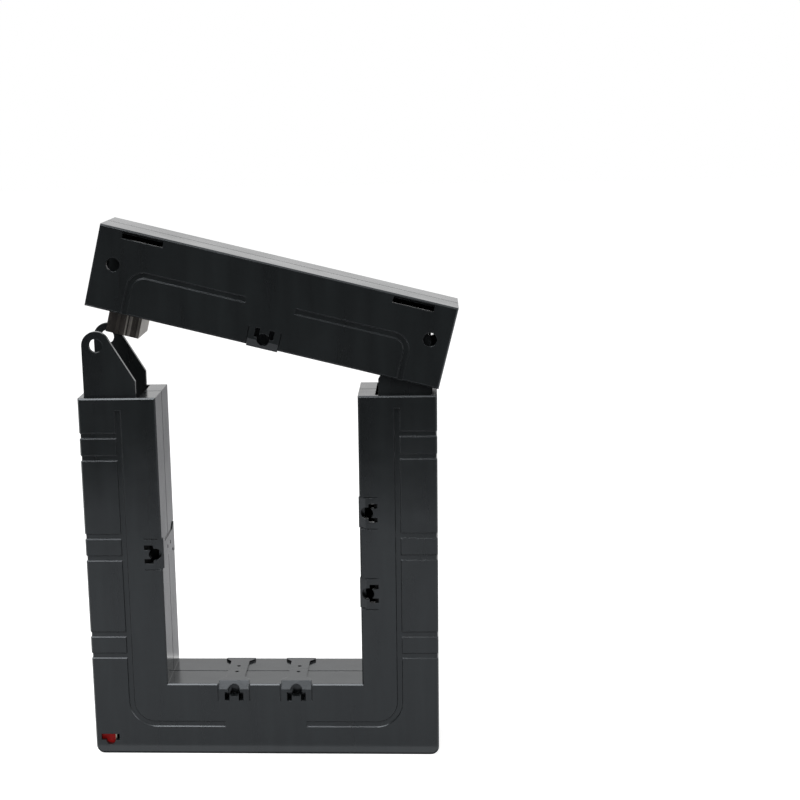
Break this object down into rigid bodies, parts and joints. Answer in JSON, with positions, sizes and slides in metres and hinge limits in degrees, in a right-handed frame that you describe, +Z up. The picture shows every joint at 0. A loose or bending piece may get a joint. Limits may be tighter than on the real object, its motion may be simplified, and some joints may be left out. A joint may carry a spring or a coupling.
{
  "type": "split-core current transformer",
  "caption": "Split-core current transformer: a U-shaped black housing with a laminated core and two coils, and a core arm tipped open over the busbar window.",
  "frame": {"origin": "centre of the housing's flat underside", "axes": "+X to the right along the base, +Y from the front face to the back, +Z up along the legs"},
  "size_m": [0.153, 0.032, 0.2215],
  "materials": {
    "black_abs": "satin moulded",
    "core_steel": "laminated, cut and ground",
    "bobbin_nylon": "moulded",
    "enamelled_copper": "enamelled",
    "winding_tape": "smooth film",
    "wire_insulation": "smooth",
    "red_plastic": "moulded",
    "terminal_brass": "plated",
    "zinc_steel": "zinc plated",
    "foam_rubber": "open cell"
  },
  "bodies": {
    "housing": {"front_housing_shell": "black_abs", "back_housing_shell": "black_abs", "left_ears": "black_abs", "right_ears": "black_abs", "lower_core": "core_steel", "left_bobbin": "bobbin_nylon", "right_bobbin": "bobbin_nylon", "left_winding": "enamelled_copper", "right_winding": "enamelled_copper", "left_winding_tape": "winding_tape", "right_winding_tape": "winding_tape", "coil_link_wire": "wire_insulation", "front_lead_wire": "wire_insulation", "back_lead_wire": "wire_insulation", "front_terminal_block": "red_plastic", "back_terminal_block": "red_plastic", "front_terminal_clamp": "terminal_brass", "back_terminal_clamp": "terminal_brass", "front_terminal_screw": "zinc_steel", "back_terminal_screw": "zinc_steel"},
    "arm": {"front_arm_shell": "black_abs", "back_arm_shell": "black_abs", "arm_core": "core_steel", "arm_core_pad": "foam_rubber"}
  },
  "joints": [
    {"name": "arm_tip", "type": "hinge", "parent": "housing", "child": "arm", "pos_m": [0.072, 0, 0.152], "axis": [0, 1, 0], "range_deg": [-14.1, 45.9]}
  ]
}
